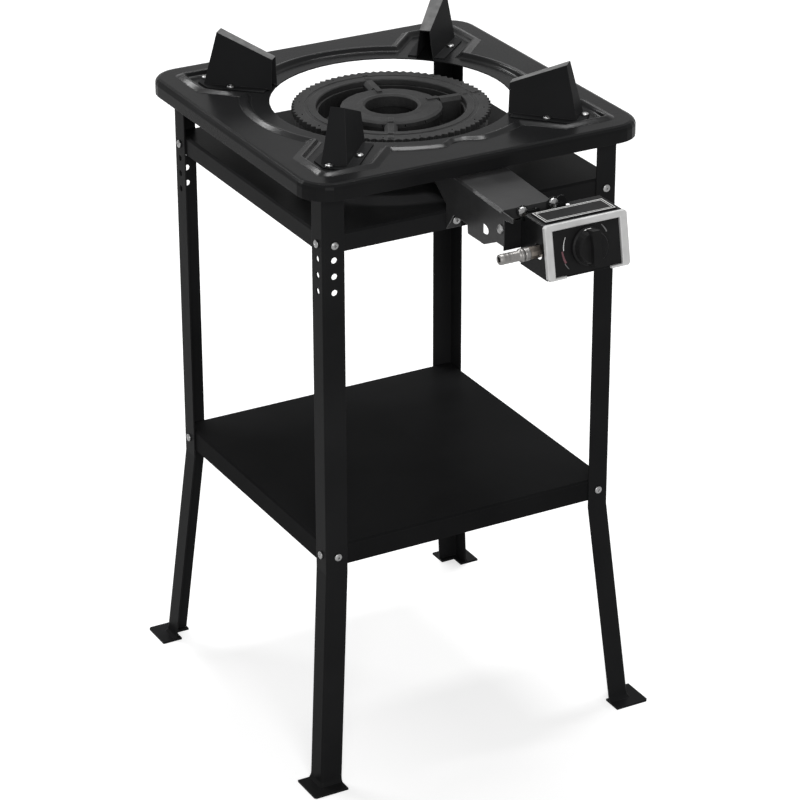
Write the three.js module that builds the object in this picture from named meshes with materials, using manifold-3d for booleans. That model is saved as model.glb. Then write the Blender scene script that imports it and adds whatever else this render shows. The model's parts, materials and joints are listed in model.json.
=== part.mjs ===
// Stock pot range: a single cast-iron gas burner on a folded sheet-steel stand.
// Millimetres, +Z up. +X is to the right of a person at the controls, which face -Y.
// The part's origin is on the floor below the middle of its overall box. Everything is
// drawn about the stand's own axis, midway between the legs, and moved back at the end.
import * as THREE from 'three';
import { mergeVertices } from 'three/addons/utils/BufferGeometryUtils.js';
import Module from 'manifold-3d';

const wasm = await Module();
wasm.setup();

// ---------------------------------------------------------------- driving dimensions
const SHEET = 1.2; // sheet steel of the plate, trays, supports and covers
const LEG_SHEET = 1.6; // sheet steel of the legs
const FIT = 0.3; // air between pieces that touch

const PLATE_HALF = 199; // top plate, 398 mm square
const PLATE_TOP = 702; // its raised border above the floor
const PLATE_SKIRT = 18; // height of its turned-down edge
const PLATE_CORNER = 34;
const PLATE_BEND = 6;
const HOLE_R = 130.8;
const HOLE_EDGES = 48;
const RECESS_DEPTH = 2.7; // pressed well round the hole and under the pot supports
const RECESS_TOP = PLATE_TOP - RECESS_DEPTH;
const RECESS_R = 163.5; // where its gentle ramp leaves the border
const RECESS_RAMP = 15; // width of the ramp
const PAD_EDGE = 176.5; // half width of the square that the four corner pads end on
const PAD_SIDE = 46; // half width of a pad, across the diagonal
const PAD_ROUND = 12;
const NOTCH = 10.4; // the ramp steps in by this much over the mixing tube

const LEG_HALF = 176; // outer faces of the legs, 352 mm apart
const LEG_FLANGE = 24.7;
const LEG_BEND = 3;
const SPLAY_TOP = 247; // below this height the legs lean outwards
const SPLAY = 0.0885; // lean per mm in both X and Y
const FOOT_OUT = 214;
const FOOT_INNER = 190;
const FOOT_END = 173;
const FOOT_SHEET = 2.4;
const HOLE_INSET = 13; // screw and spare holes from the leg's corner
const SPARE_HOLES = [609.5, 591.5, 573.5];
const SPARE_HOLE_R = 3.7;
const HOLE_SIDES = 8;
const SCREW_R = 2.2;
const SCREW_CLEAR = 2.6;
const CLEAR_SIDES = 6; // clearance holes are covered by their screws' heads

const TRAY_TOP = 637.5; // drip tray under the burner
const TRAY_SKIRT = 20.6;
const TRAY_SCREW_Z = 626.2;
const SHELF_TOP = 280;
const SHELF_SKIRT = 24.6;
const SHELF_SCREW_Z = 267;
const TRAY_HALF = LEG_HALF - LEG_SHEET - FIT;

const SUPPORT_IN = 132; // pot supports, measured along the diagonal from the centre
const SUPPORT_OUT = 208;
const SUPPORT_LEAN = 14;
const SUPPORT_HIGH = 59;
const SUPPORT_LOW = 33;
const FLANGE_W = 11;

const BURNER_TOP = 692.8;
const RIM_R = 107.5;
const RING_IN_R = 81;
const HUB_R = 55.5;
const HUB_HOLE_R = 28.6;
const TEETH = 80;
const TOOTH_H = 4;
const PORTS = 16;
const RING_SIDES = 40;
const HUB_SIDES = 24;
const HUB_SLOTS = 14;
const CAP_T = 6.5;
const BODY_H = 22;
const BRIDGES = [79, 241, 355]; // degrees, gas bridges between the rings
const BRIDGE_W = 14;
const TUBE_Z = 654.3;
const TUBE_R = 15.5;
const MOUTH_Y = -248;
const MOUTH_R = 19;
const TEE_Y = -96;

const COVER_HALF = 31; // heat cover over the mixing tube
const COVER_TOP = 677; // at its front edge, from which it rises gently to the back
const COVER_RISE = 0.045; // mm per mm
const COVER_BACK = -150;
const COVER_FRONT = -285;
const BRACKET_Y = -288;
const BOX_BACK = -289.6;
const BOX_LEFT = -10;
const BOX_RIGHT = 84;
const BOX_TOP = 673.3;
const BOX_FRONT = -331; // front edge of the box top
const BOX_BEND = 1.5;
const PANEL_TILT = 10.5 * Math.PI / 180;
const PANEL_H = 57.6;
const INLET_Y = 13.5; // behind the panel, along the spindle
const SPINDLE_R = 3;

// ---------------------------------------------------------------- colours
const blackPaint = { color: 0x1d1e1f, roughness: 0.42, metalness: 0.1 };
const castIron = { color: 0x2c2c2d, roughness: 0.62, metalness: 0.35 };
const zinc = { color: 0xb9bcbd, roughness: 0.35, metalness: 0.9 };
const brass = { color: 0xb79b5e, roughness: 0.35, metalness: 0.95 };
const nickel = { color: 0xbdbcb2, roughness: 0.32, metalness: 0.9 };
const silverTrim = { color: 0xd9dada, roughness: 0.28, metalness: 0.4 };
const blackPlastic = { color: 0x0e0e0f, roughness: 0.38, metalness: 0 };
const coverSteel = { color: 0x4a4b4c, roughness: 0.4, metalness: 0.4 };

const group = new THREE.Group();
const stand = new THREE.Group();
group.add(stand);

// ---------------------------------------------------------------- geometry tools
function toSolid(geometry) {
  const bare = geometry.clone();
  for (const name of Object.keys(bare.attributes)) {
    if (name !== 'position') bare.deleteAttribute(name);
  }
  const merged = mergeVertices(bare, 1e-4);
  return new wasm.Manifold(new wasm.Mesh({
    numProp: 3,
    vertProperties: Float32Array.from(merged.attributes.position.array),
    triVerts: Uint32Array.from(merged.index.array),
  }));
}

function toGeometry(solid) {
  const mesh = solid.getMesh();
  const geometry = new THREE.BufferGeometry();
  geometry.setAttribute('position', new THREE.BufferAttribute(mesh.vertProperties, 3));
  geometry.setIndex(new THREE.BufferAttribute(mesh.triVerts, 1));
  return geometry;
}

function shapeOf(add, cut = []) {
  let solid = toSolid(add[0]);
  for (const geometry of add.slice(1)) solid = solid.add(toSolid(geometry));
  for (const geometry of cut) solid = solid.subtract(toSolid(geometry));
  return toGeometry(solid);
}

function addPart(name, geometry, look, parent = stand) {
  const mesh = new THREE.Mesh(geometry, new THREE.MeshStandardMaterial(look));
  mesh.name = name;
  parent.add(mesh);
  return mesh;
}

function box(x0, x1, y0, y1, z0, z1) {
  const geometry = new THREE.BoxGeometry(x1 - x0, y1 - y0, z1 - z0);
  return geometry.translate((x0 + x1) / 2, (y0 + y1) / 2, (z0 + z1) / 2);
}

// A cylinder from one height to another along an axis, centred on the other two values.
function rod(axis, from, to, a, b, radius, sides = 16, endRadius = radius) {
  const geometry = new THREE.CylinderGeometry(endRadius, radius, to - from, sides);
  geometry.translate(0, (from + to) / 2, 0);
  if (axis === 'x') geometry.rotateZ(-Math.PI / 2).translate(0, a, b);
  if (axis === 'y') geometry.translate(a, 0, b);
  if (axis === 'z') geometry.rotateX(Math.PI / 2).translate(a, b, 0);
  return geometry;
}

// A flat outline pushed along X, Y or Z. Points are (y, z), (x, z) or (x, y).
function slab(axis, from, to, points) {
  const outline = new THREE.Shape(points.map(([a, b]) => new THREE.Vector2(a, b)));
  const geometry = new THREE.ExtrudeGeometry(outline, { depth: to - from, bevelEnabled: false });
  const place = new THREE.Matrix4();
  if (axis === 'x') place.set(0, 0, 1, from, 1, 0, 0, 0, 0, 1, 0, 0, 0, 0, 0, 1);
  if (axis === 'y') place.set(1, 0, 0, 0, 0, 0, -1, to, 0, 1, 0, 0, 0, 0, 0, 1);
  if (axis === 'z') place.makeTranslation(0, 0, from);
  return geometry.applyMatrix4(place);
}

// A closed skin through rings of equal point count, capped at the first and last ring. Rings
// that don't lie level are convex, and their caps are fans.
function loft(rings, level = true) {
  const count = rings[0].length;
  const positions = rings.flat().flatMap((p) => [p.x, p.y, p.z]);
  const index = [];
  for (let r = 0; r + 1 < rings.length; r += 1) {
    for (let i = 0; i < count; i += 1) {
      const a = r * count + i;
      const b = r * count + (i + 1) % count;
      index.push(a, b, a + count, b, b + count, a + count);
    }
  }
  const fan = rings[0].slice(2).map((_, i) => [0, i + 1, i + 2]);
  const capTriangles = (ring) => (
    level ? THREE.ShapeUtils.triangulateShape(ring.map((p) => new THREE.Vector2(p.x, p.y)), []) : fan
  );
  const last = (rings.length - 1) * count;
  for (const [a, b, c] of capTriangles(rings[0])) index.push(c, b, a);
  for (const [a, b, c] of capTriangles(rings.at(-1))) index.push(last + a, last + b, last + c);
  const geometry = new THREE.BufferGeometry();
  geometry.setAttribute('position', new THREE.Float32BufferAttribute(positions, 3));
  geometry.setIndex(index);
  return geometry;
}

function onCircle(radius, degrees) {
  const turn = THREE.MathUtils.degToRad(degrees);
  return [radius * Math.cos(turn), radius * Math.sin(turn)];
}

// A turned shape about Z from its half section, as (radius, height).
function lathe(points, sides) {
  const profile = points.map(([r, z]) => new THREE.Vector2(r, z));
  if (THREE.ShapeUtils.area(profile) < 0) profile.reverse();
  return new THREE.LatheGeometry(profile, sides).rotateX(Math.PI / 2);
}

// ---------------------------------------------------------------- pressed square sheets
function roundedSquare(half, radius, z, steps) {
  const ring = [];
  for (let corner = 0; corner < 4; corner += 1) {
    const middle = new THREE.Vector2(half - radius, half - radius);
    for (let i = 0; i <= steps; i += 1) {
      const turn = (i / steps) * Math.PI / 2;
      const point = new THREE.Vector2(Math.cos(turn), Math.sin(turn)).multiplyScalar(radius);
      point.add(middle).rotateAround(new THREE.Vector2(), corner * Math.PI / 2);
      ring.push(new THREE.Vector3(point.x, point.y, z));
    }
  }
  return ring;
}

function domedSquare(half, corner, bend, top, bottom) {
  const bends = bend > 3 ? 3 : 1;
  const steps = corner > 10 ? 6 : 2;
  const rings = [roundedSquare(half, corner, bottom, steps)];
  for (let i = 0; i <= bends; i += 1) {
    const turn = (i / bends) * Math.PI / 2;
    const inset = bend * (1 - Math.cos(turn));
    rings.push(roundedSquare(half - inset, corner - inset, top - bend + bend * Math.sin(turn), steps));
  }
  return loft(rings);
}

// How far the ramp steps in over the mixing tube, by direction in degrees.
function notchAt(degrees) {
  const rise = THREE.MathUtils.smoothstep(degrees, 261.5, 266.5);
  return NOTCH * rise * (1 - THREE.MathUtils.smoothstep(degrees, 270, 279.5));
}

// Outline of the pressed well, moved inwards: an arc round the hole between four corner pads.
function recessRing(inset, z) {
  const radius = RECESS_R - inset;
  const side = PAD_SIDE - inset;
  const edge = PAD_EDGE - inset;
  const round = Math.max(PAD_ROUND - inset, 2);
  const meet = THREE.MathUtils.radToDeg(Math.asin(side / radius));
  const tip = Math.SQRT2 * (edge - round);
  const slant = round * Math.SQRT1_2;
  const pad = [
    [Math.SQRT2 * edge - side, -side],
    [tip + slant, -slant],
    [tip + round, 0],
    [tip + slant, slant],
    [Math.SQRT2 * edge - side, side],
  ];
  const steps = 10;
  const ring = [];
  for (let diagonal = 45; diagonal < 360; diagonal += 90) {
    const turn = THREE.MathUtils.degToRad(diagonal);
    for (const [along, across] of pad) {
      const point = new THREE.Vector2(along, across).rotateAround(new THREE.Vector2(), turn);
      ring.push(new THREE.Vector3(point.x, point.y, z));
    }
    for (let i = 0; i <= steps; i += 1) {
      const degrees = THREE.MathUtils.lerp(diagonal + meet, diagonal + 90 - meet, i / steps);
      const [x, y] = onCircle(radius - notchAt(degrees), degrees);
      ring.push(new THREE.Vector3(x, y, z));
    }
  }
  return ring;
}

function foldedTray(half, top, skirt, holes) {
  const outer = domedSquare(half, 4, 2.4, top, top - skirt);
  const inner = domedSquare(half - SHEET, 4 - SHEET, 2.4 - SHEET, top - SHEET, top - skirt - 5);
  return shapeOf([outer], [inner, ...holes]);
}

// ---------------------------------------------------------------- the four corners
const CORNERS = [
  { name: 'front_left', sx: -1, sy: -1 },
  { name: 'front_right', sx: 1, sy: -1 },
  { name: 'back_left', sx: -1, sy: 1 },
  { name: 'back_right', sx: 1, sy: 1 },
];

// A drill through one flange of a leg and whatever lies behind it, along X or Y.
function sideHole(corner, axis, z, radius, sides = HOLE_SIDES) {
  const along = LEG_HALF - HOLE_INSET;
  const [side, other] = axis === 'x' ? [corner.sx, corner.sy] : [corner.sy, corner.sx];
  const [from, to] = [side * (LEG_HALF - 12), side * (LEG_HALF + 20)].sort((p, q) => p - q);
  return rod(axis, from, to, other * along, z, radius, sides);
}

function screwHolesAt(z) {
  return CORNERS.flatMap((c) => ['x', 'y'].map((axis) => sideHole(c, axis, z, SCREW_CLEAR, CLEAR_SIDES)));
}

// ---------------------------------------------------------------- top plate
// Both pot-support screws of a corner, as [along the diagonal, across it].
function supportScrewSpots(corner) {
  const side = corner.sx;
  return [[212, -4 * side], [176, 17.4 * side]];
}

function diagonalPoint(corner, u, v) {
  const k = Math.SQRT1_2;
  return [k * (corner.sx * u + corner.sy * v), k * (corner.sy * u - corner.sx * v)];
}

function supportScrewHoles(radius) {
  return CORNERS.flatMap((c) => supportScrewSpots(c).map(([u, v]) => {
    const [x, y] = diagonalPoint(c, u, v);
    return rod('z', PLATE_TOP - 30, PLATE_TOP + 10, x, y, radius, CLEAR_SIDES);
  }));
}

function makeTopPlate() {
  const bottom = PLATE_TOP - PLATE_SKIRT;
  const outer = domedSquare(PLATE_HALF, PLATE_CORNER, PLATE_BEND, PLATE_TOP, bottom);
  const wellAt = (drop) => toSolid(loft([
    recessRing(RECESS_RAMP, RECESS_TOP - drop),
    recessRing(0, PLATE_TOP - drop),
    recessRing(0, PLATE_TOP + 5),
  ]));
  const inner = domedSquare(
    PLATE_HALF - SHEET,
    PLATE_CORNER - SHEET,
    PLATE_BEND - SHEET,
    PLATE_TOP - SHEET,
    bottom - 5,
  );
  const hollow = toSolid(inner).subtract(wellAt(SHEET));
  let plate = toSolid(outer).subtract(wellAt(0)).subtract(hollow);
  plate = plate.subtract(toSolid(rod('z', bottom - 5, PLATE_TOP + 5, 0, 0, HOLE_R, HOLE_EDGES)));
  for (const hole of supportScrewHoles(SCREW_CLEAR)) plate = plate.subtract(toSolid(hole));
  return toGeometry(plate);
}
addPart('top_plate', makeTopPlate(), blackPaint);

// ---------------------------------------------------------------- pot supports
// A pressed channel along the diagonal: leaning outer end, sloping top, open towards the flame.
function supportBlock(grow, drop, openIn, base) {
  const outLow = 14 - grow;
  const inLow = 10 - grow;
  const outTop = 7.5 - grow;
  const inTop = 6 - grow;
  const end = SUPPORT_OUT - grow;
  const start = SUPPORT_IN - openIn;
  const ring = (half0, half1, u0, u1, z0, z1) => [
    new THREE.Vector3(u0, -half0, z0),
    new THREE.Vector3(u1, -half1, z1),
    new THREE.Vector3(u1, half1, z1),
    new THREE.Vector3(u0, half0, z0),
  ];
  const slope = (SUPPORT_HIGH - SUPPORT_LOW) / (SUPPORT_OUT - SUPPORT_LEAN - SUPPORT_IN);
  const low = SUPPORT_LOW - drop - slope * openIn;
  return loft([
    ring(inLow, outLow, start, end, base, base),
    ring(inTop, outTop, start, end - SUPPORT_LEAN, low, SUPPORT_HIGH - drop),
  ]);
}

function makeSupport(corner) {
  const flange = [
    [SUPPORT_IN + 5, -10 - FLANGE_W],
    [SUPPORT_OUT - 8, -13 - FLANGE_W],
    [SUPPORT_OUT + 8, -9],
    [SUPPORT_OUT + 8, 9],
    [SUPPORT_OUT - 8, 13 + FLANGE_W],
    [SUPPORT_IN + 5, 10 + FLANGE_W],
  ];
  const base = slab('z', 0, SHEET, flange);
  const screws = supportScrewSpots(corner).map(([u, v]) => (
    rod('z', -5, 20, u, -v, SCREW_CLEAR, CLEAR_SIDES)
  ));
  const shell = shapeOf(
    [base, supportBlock(0, 0, 0, 0)],
    [supportBlock(SHEET, SHEET * 1.1, 20, -1), ...screws],
  );
  const angle = Math.atan2(corner.sy, corner.sx);
  const turned = new THREE.Matrix4().makeRotationZ(angle);
  return shell.applyMatrix4(turned).translate(0, 0, RECESS_TOP + FIT);
}

// A pan-head screw with its head outwards along +Z, the underside of the head at z = 0.
function screwGeometry(headR, headH, shankR, length, sides = 8) {
  const points = [
    [0, -length],
    [shankR, -length + shankR * 0.5],
    [shankR, 0],
    [headR, 0],
    [headR * 0.92, headH * 0.6],
    [0, headH],
  ];
  return toGeometry(toSolid(lathe(points, sides)));
}

function addScrew(name, geometry, look, position, outward) {
  const mesh = addPart(name, geometry, look);
  mesh.quaternion.setFromUnitVectors(new THREE.Vector3(0, 0, 1), outward);
  mesh.position.copy(position);
}

// ---------------------------------------------------------------- legs
// One flanged angle: straight to the shelf, splayed below it, on a flat L-shaped foot.
function legOutline(lean, z, spread = 0) {
  const outer = LEG_HALF + lean + spread;
  const end = LEG_HALF + lean - LEG_FLANGE;
  const inner = LEG_HALF + lean - LEG_SHEET;
  const points = [[end, outer], [end, inner], [inner, inner], [inner, end], [outer, end]];
  const bends = 3;
  for (let i = 0; i <= bends; i += 1) {
    const turn = (i / bends) * Math.PI / 2;
    const reach = outer - LEG_BEND;
    points.push([reach + LEG_BEND * Math.cos(turn), reach + LEG_BEND * Math.sin(turn)]);
  }
  return points.map(([x, y]) => new THREE.Vector3(x, y, z));
}

function makeLeg(corner) {
  const top = RECESS_TOP - SHEET - FIT;
  const lean = (z) => Math.max(0, SPLAY_TOP - z) * SPLAY;
  const flare = 6;
  const upright = loft([
    legOutline(lean(1), 1, 3),
    legOutline(lean(FOOT_SHEET), FOOT_SHEET, 2.4),
    legOutline(lean(flare), flare, 0.3),
    legOutline(lean(flare + 3), flare + 3),
    legOutline(0, SPLAY_TOP),
    legOutline(0, top),
  ]);
  const foot = slab('z', 0, FOOT_SHEET, [
    [FOOT_END, FOOT_INNER],
    [FOOT_INNER, FOOT_INNER],
    [FOOT_INNER, FOOT_END],
    [FOOT_OUT, FOOT_END],
    [FOOT_OUT, FOOT_OUT - 2],
    [FOOT_OUT - 2, FOOT_OUT],
    [FOOT_END, FOOT_OUT],
  ]);
  const edge = LEG_HALF - 1;
  const tab = slab('z', top - LEG_SHEET, top, [
    [edge, edge],
    [112, edge],
    [112, edge - 12],
    [edge - 12, 112],
    [edge, 112],
  ]);
  const drill = [];
  const toLeg = new THREE.Matrix4().makeScale(corner.sx, corner.sy, 1);
  for (const z of SPARE_HOLES) {
    drill.push(sideHole(corner, 'x', z, SPARE_HOLE_R), sideHole(corner, 'y', z, SPARE_HOLE_R));
  }
  for (const z of [TRAY_SCREW_Z, SHELF_SCREW_Z]) {
    for (const axis of ['x', 'y']) drill.push(sideHole(corner, axis, z, SCREW_CLEAR, CLEAR_SIDES));
  }
  const turned = corner.sx * corner.sy < 0;
  const pieces = [upright, foot, tab].map((geometry) => mirrored(geometry, toLeg, turned));
  return shapeOf(pieces, [...drill, ...supportScrewHoles(SCREW_CLEAR)]);
}

// Moves a geometry and, where the move mirrors it, turns its faces outwards again.
function mirrored(geometry, matrix, turned) {
  const moved = mergeVertices(bareGeometry(geometry), 1e-4).applyMatrix4(matrix);
  if (turned) {
    const index = moved.index.array;
    for (let i = 0; i < index.length; i += 3) [index[i], index[i + 1]] = [index[i + 1], index[i]];
  }
  return moved;
}

function bareGeometry(geometry) {
  const bare = new THREE.BufferGeometry();
  bare.setAttribute('position', geometry.attributes.position.clone());
  if (geometry.index) bare.setIndex(geometry.index.clone());
  return bare;
}

const stubbyScrew = screwGeometry(4.3, 2.6, SCREW_R, 9);
for (const corner of CORNERS) {
  addPart(`leg_${corner.name}`, makeLeg(corner), blackPaint);
  addPart(`pot_support_${corner.name}`, makeSupport(corner), blackPaint);
  const along = LEG_HALF - HOLE_INSET;
  const face = LEG_HALF + FIT;
  for (const [level, z] of [['tray', TRAY_SCREW_Z], ['shelf', SHELF_SCREW_Z]]) {
    addScrew(
      `${level}_screw_${corner.name}_side`,
      stubbyScrew.clone(),
      zinc,
      new THREE.Vector3(corner.sx * face, corner.sy * along, z),
      new THREE.Vector3(corner.sx, 0, 0),
    );
    addScrew(
      `${level}_screw_${corner.name}_end`,
      stubbyScrew.clone(),
      zinc,
      new THREE.Vector3(corner.sx * along, corner.sy * face, z),
      new THREE.Vector3(0, corner.sy, 0),
    );
  }
  supportScrewSpots(corner).forEach(([u, v], i) => {
    const [x, y] = diagonalPoint(corner, u, v);
    addScrew(
      `support_screw_${corner.name}_${i ? 'inner' : 'outer'}`,
      stubbyScrew.clone(),
      zinc,
      new THREE.Vector3(x, y, RECESS_TOP + SHEET + 2 * FIT),
      new THREE.Vector3(0, 0, 1),
    );
  });
}

// ---------------------------------------------------------------- drip tray and shelf
const PEG_R = 4;
const PEG_SIDES = 6;
const PEG_AT = 95;
const PEG_ANGLES = [45, 135, 225, 315];
const COVER_TAB_X = 20;

function makeDripTray() {
  const pegHoles = PEG_ANGLES.map((a) => {
    const [x, y] = onCircle(PEG_AT, a);
    return rod('z', TRAY_TOP - 10, TRAY_TOP + 5, x, y, PEG_R + FIT, PEG_SIDES);
  });
  const tabHoles = [-COVER_TAB_X, COVER_TAB_X].map((x) => (
    rod('y', -TRAY_HALF - 5, -TRAY_HALF + 5, x, TRAY_SCREW_Z, SCREW_CLEAR, CLEAR_SIDES)
  ));
  const holes = [...screwHolesAt(TRAY_SCREW_Z), ...pegHoles, ...tabHoles];
  return foldedTray(TRAY_HALF, TRAY_TOP, TRAY_SKIRT, holes);
}
addPart('drip_tray', makeDripTray(), blackPaint);
addPart(
  'lower_shelf',
  foldedTray(TRAY_HALF, SHELF_TOP, SHELF_SKIRT, screwHolesAt(SHELF_SCREW_Z)),
  blackPaint,
);

// ---------------------------------------------------------------- burner
// Raised ribs over the bridges, along which the flame crosses from ring to ring.
function bridgeRibs(from, to) {
  return BRIDGES.map((a) => (
    box(from, to, -3, 3, BURNER_TOP - 4, BURNER_TOP + 1).rotateZ(THREE.MathUtils.degToRad(a))
  ));
}

// Toothed ring that sits on the outer gas channel. The slots between teeth are the flame ports.
function makeOuterCap() {
  const low = BURNER_TOP - CAP_T;
  const root = RIM_R - TOOTH_H;
  const pitch = 360 / TEETH;
  const outline = [];
  for (let i = 0; i < TEETH; i += 1) {
    outline.push(onCircle(RIM_R, i * pitch));
    outline.push(onCircle(root, (i + 0.5) * pitch));
  }
  const teeth = new THREE.Shape(outline.map(([x, y]) => new THREE.Vector2(x, y)));
  const bore = new THREE.Path();
  bore.absarc(0, 0, RING_IN_R, 0, Math.PI * 2, true);
  teeth.holes.push(bore);
  const crown = new THREE.ExtrudeGeometry(teeth, {
    depth: CAP_T,
    bevelEnabled: false,
    curveSegments: RING_SIDES,
  }).translate(0, 0, low);
  const edge = lathe([
    [RING_IN_R - 1, BURNER_TOP - 2],
    [RING_IN_R + 2.5, BURNER_TOP + 1],
    [RING_IN_R - 1, BURNER_TOP + 1],
    [RING_IN_R - 1, BURNER_TOP - 2],
  ], RING_SIDES);
  const ports = [];
  for (let i = 0; i < PORTS; i += 1) {
    const [x, y] = onCircle(RIM_R - TOOTH_H - 4, (i + 0.5) * 360 / PORTS);
    ports.push(rod('z', BURNER_TOP - 1.5, BURNER_TOP + 2, x, y, 1.6, 4));
  }
  const step = lathe([
    [RING_IN_R + 9, BURNER_TOP - 1.1],
    [RING_IN_R + 13, BURNER_TOP - 1.1],
    [RING_IN_R + 14, BURNER_TOP + 1],
    [RING_IN_R + 8, BURNER_TOP + 1],
    [RING_IN_R + 9, BURNER_TOP - 1.1],
  ], RING_SIDES);
  return shapeOf([crown, ...bridgeRibs(RING_IN_R + 0.5, root - 1)], [edge, step, ...ports]);
}
addPart('burner_outer_cap', makeOuterCap(), castIron);

function makeInnerCap() {
  const low = BURNER_TOP - CAP_T;
  const blank = lathe([
    [HUB_HOLE_R, low - 6],
    [HUB_HOLE_R + 3, low - 6],
    [HUB_HOLE_R + 3, low],
    [HUB_R, low],
    [HUB_R - 0.5, BURNER_TOP - 2.2],
    [HUB_R - 4, BURNER_TOP - 0.6],
    [HUB_HOLE_R + 9, BURNER_TOP - 0.8],
    [HUB_HOLE_R + 3, BURNER_TOP + 0.6],
    [HUB_HOLE_R, BURNER_TOP - 1],
    [HUB_HOLE_R, low - 6],
  ], HUB_SIDES);
  const slots = [];
  for (let i = 0; i < HUB_SLOTS; i += 1) {
    const slot = box(HUB_R - 6, HUB_R + 4, -1, 1, low - 1, low + 3);
    slots.push(slot.rotateZ(THREE.MathUtils.degToRad(i * 360 / HUB_SLOTS)));
  }
  return shapeOf([blank, ...bridgeRibs(HUB_R - 14, HUB_R - 1)], slots);
}
addPart('burner_inner_cap', makeInnerCap(), castIron);

// Casting: two gas channels, the bridges between them, feet and the mixing tube.
function makeBurnerBody() {
  const top = BURNER_TOP - CAP_T - FIT;
  const bottom = top - BODY_H;
  const ring = (r0, r1, sides) => lathe([
    [r0 + 1, bottom],
    [r1 - 1, bottom],
    [r1, top],
    [r0, top],
    [r0 + 1, bottom],
  ], sides);
  const groove = (r0, r1, sides) => lathe([
    [r0 + 1, bottom + 4],
    [r1 - 1, bottom + 4],
    [r1, top + 5],
    [r0, top + 5],
    [r0 + 1, bottom + 4],
  ], sides);
  const bridges = BRIDGES.map((a) => (
    box(HUB_R - 6, RING_IN_R + 6, -BRIDGE_W / 2, BRIDGE_W / 2, bottom + 2, top)
      .rotateZ(THREE.MathUtils.degToRad(a))
  ));
  const bridgeTops = BRIDGES.map((a) => (
    slab('x', HUB_R + FIT, RING_IN_R - 1, [
      [-BRIDGE_W / 2, top - 2],
      [BRIDGE_W / 2, top - 2],
      [BRIDGE_W / 2, top + 3],
      [3, BURNER_TOP],
      [-3, BURNER_TOP],
      [-BRIDGE_W / 2, top + 3],
    ]).rotateZ(THREE.MathUtils.degToRad(a))
  ));
  const ducts = BRIDGES.map((a) => (
    rod('x', HUB_R - 12, RING_IN_R + 8, 0, bottom + 11, 5, 6).rotateZ(THREE.MathUtils.degToRad(a))
  ));
  const legs = PEG_ANGLES.flatMap((a) => {
    const [x, y] = onCircle(PEG_AT, a);
    return [
      rod('z', TRAY_TOP + FIT, bottom + 3, x, y, 7.5, PEG_SIDES, 8.5),
      rod('z', TRAY_TOP - 3, TRAY_TOP + 1, x, y, PEG_R, PEG_SIDES),
    ];
  });
  const tube = lathe([
    [0, TEE_Y + 20],
    [TUBE_R * 0.7, TEE_Y + 18],
    [TUBE_R, TEE_Y + 8],
    [TUBE_R, MOUTH_Y + 34],
    [TUBE_R - 2, MOUTH_Y + 24],
    [TUBE_R, MOUTH_Y + 12],
    [MOUTH_R, MOUTH_Y + 5],
    [MOUTH_R, MOUTH_Y],
    [0, MOUTH_Y],
  ], 16);
  const bore = lathe([
    [0, TEE_Y + 14],
    [TUBE_R - 4, TEE_Y + 10],
    [TUBE_R - 4, MOUTH_Y + 34],
    [TUBE_R - 6, MOUTH_Y + 24],
    [TUBE_R - 4, MOUTH_Y + 12],
    [MOUTH_R - 3, MOUTH_Y + 3.5],
    [0, MOUTH_Y + 3.5],
  ], 12);
  for (const geometry of [tube, bore]) {
    geometry.rotateX(-Math.PI / 2).translate(0, 0, TUBE_Z);
  }
  const windows = [];
  for (let i = 0; i < 3; i += 1) {
    windows.push(airWindow(MOUTH_Y - 2, MOUTH_Y + 5, 7, MOUTH_R - 3.5, 40).rotateY(i * Math.PI * 2 / 3)
      .translate(0, 0, TUBE_Z));
  }
  const jetHole = rod('y', MOUTH_Y - 5, MOUTH_Y + 8, 0, TUBE_Z, 4.2, 12);
  const neck = rod('z', TUBE_Z + 6, bottom + 8, 0, TEE_Y, 9, 10);
  const neckBore = rod('z', TUBE_Z, bottom + 8, 0, TEE_Y, 5.5, 8);
  return shapeOf(
    [
      ring(RING_IN_R - 2, RIM_R - 3, RING_SIDES),
      ring(HUB_HOLE_R + 4, HUB_R - 2, HUB_SIDES),
      ...bridges,
      ...bridgeTops,
      ...legs,
      tube,
      neck,
    ],
    [
      groove(RING_IN_R + 1, RIM_R - 6, RING_SIDES / 2),
      groove(HUB_HOLE_R + 8, HUB_R - 6, HUB_SIDES / 2),
      ...ducts,
      bore,
      ...windows,
      jetHole,
      neckBore,
    ],
  );
}

// A fan-shaped opening through a disc that faces -Y, from one radius to another.
function airWindow(y0, y1, r0, r1, halfAngle) {
  const fan = [];
  const steps = 2;
  for (let i = 0; i <= steps; i += 1) fan.push(onCircle(r1, 90 - halfAngle + (2 * halfAngle * i) / steps));
  for (let i = steps; i >= 0; i -= 1) fan.push(onCircle(r0, 90 - halfAngle + (2 * halfAngle * i) / steps));
  return slab('y', y0, y1, fan);
}
addPart('burner_body', makeBurnerBody(), castIron);

function makeAirShutter() {
  const disc = rod('y', -2.1, -0.5, 0, 0, MOUTH_R + 0.5, 20);
  const lip = box(-4, 4, -6, -0.6, -MOUTH_R - 5, -MOUTH_R + 1);
  const windows = [];
  for (let i = 0; i < 3; i += 1) {
    windows.push(airWindow(-5, 2, 7, MOUTH_R - 3.5, 38).rotateY(i * Math.PI * 2 / 3));
  }
  const eye = rod('y', -10, 2, 0, 0, 4.2, 12);
  return shapeOf([disc, lip], [...windows, eye]);
}
const shutter = addPart('air_shutter', makeAirShutter(), zinc);
shutter.position.set(0, MOUTH_Y, TUBE_Z);

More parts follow.
